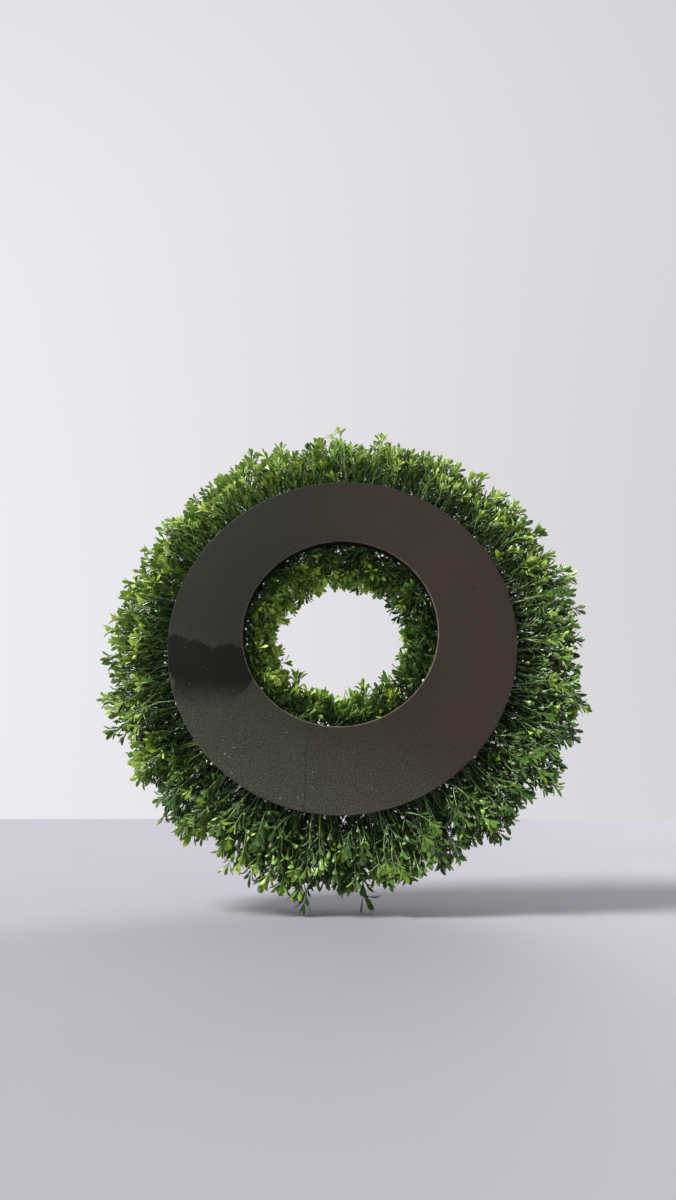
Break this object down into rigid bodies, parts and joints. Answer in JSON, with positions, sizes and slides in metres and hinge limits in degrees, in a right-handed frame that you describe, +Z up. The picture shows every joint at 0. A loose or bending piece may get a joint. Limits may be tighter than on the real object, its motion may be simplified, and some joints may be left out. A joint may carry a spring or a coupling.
{
  "type": "artificial boxwood wreath on a backing ring",
  "caption": "Round artificial boxwood wreath: plastic sprig bunches on moulded mats, glued to the front of a flat black backing ring with an open centre.",
  "frame": {"origin": "centre of the backing ring, on the plane of its flat back face", "axes": "+Z up as the wreath hangs; +Y out of the back face, towards the wall; the foliage faces -Y; +X is to the right when the foliage side is looked at"},
  "size_m": [0.5062, 0.092, 0.5016],
  "materials": {
    "board": "charcoal black foamed-plastic board, semi-matte with a fine orange peel",
    "glue": "hot-melt glue, milky and glossy",
    "mat": "moulded dark green polyethylene",
    "foliage": "moulded leaves, dark green inside to yellow-green at the tips, satin gloss"
  },
  "bodies": {
    "root": {"backing_ring": "board", "glue_dabs": "glue", "sprig_mat_1": "mat", "sprig_mat_2": "mat", "sprig_mat_3": "mat", "sprig_mat_4": "mat", "outer_sprig_bunch_01": "foliage", "outer_sprig_bunch_02": "foliage", "outer_sprig_bunch_03": "foliage", "outer_sprig_bunch_04": "foliage", "outer_sprig_bunch_05": "foliage", "outer_sprig_bunch_06": "foliage", "outer_sprig_bunch_07": "foliage", "outer_sprig_bunch_08": "foliage", "outer_sprig_bunch_09": "foliage", "outer_sprig_bunch_10": "foliage", "outer_sprig_bunch_11": "foliage", "outer_sprig_bunch_12": "foliage", "outer_sprig_bunch_13": "foliage", "outer_sprig_bunch_14": "foliage", "outer_sprig_bunch_15": "foliage", "outer_sprig_bunch_16": "foliage", "outer_sprig_bunch_17": "foliage", "outer_sprig_bunch_18": "foliage", "outer_sprig_bunch_19": "foliage", "outer_sprig_bunch_20": "foliage", "middle_sprig_bunch_01": "foliage", "middle_sprig_bunch_02": "foliage", "middle_sprig_bunch_03": "foliage", "middle_sprig_bunch_04": "foliage", "middle_sprig_bunch_05": "foliage", "middle_sprig_bunch_06": "foliage", "middle_sprig_bunch_07": "foliage", "middle_sprig_bunch_08": "foliage", "middle_sprig_bunch_09": "foliage", "middle_sprig_bunch_10": "foliage", "middle_sprig_bunch_11": "foliage", "middle_sprig_bunch_12": "foliage", "middle_sprig_bunch_13": "foliage", "middle_sprig_bunch_14": "foliage", "middle_sprig_bunch_15": "foliage", "middle_sprig_bunch_16": "foliage", "inner_sprig_bunch_01": "foliage", "inner_sprig_bunch_02": "foliage", "inner_sprig_bunch_03": "foliage", "inner_sprig_bunch_04": "foliage", "inner_sprig_bunch_05": "foliage", "inner_sprig_bunch_06": "foliage", "inner_sprig_bunch_07": "foliage", "inner_sprig_bunch_08": "foliage", "inner_sprig_bunch_09": "foliage", "inner_sprig_bunch_10": "foliage", "inner_sprig_bunch_11": "foliage", "inner_sprig_bunch_12": "foliage"}
  },
  "joints": []
}
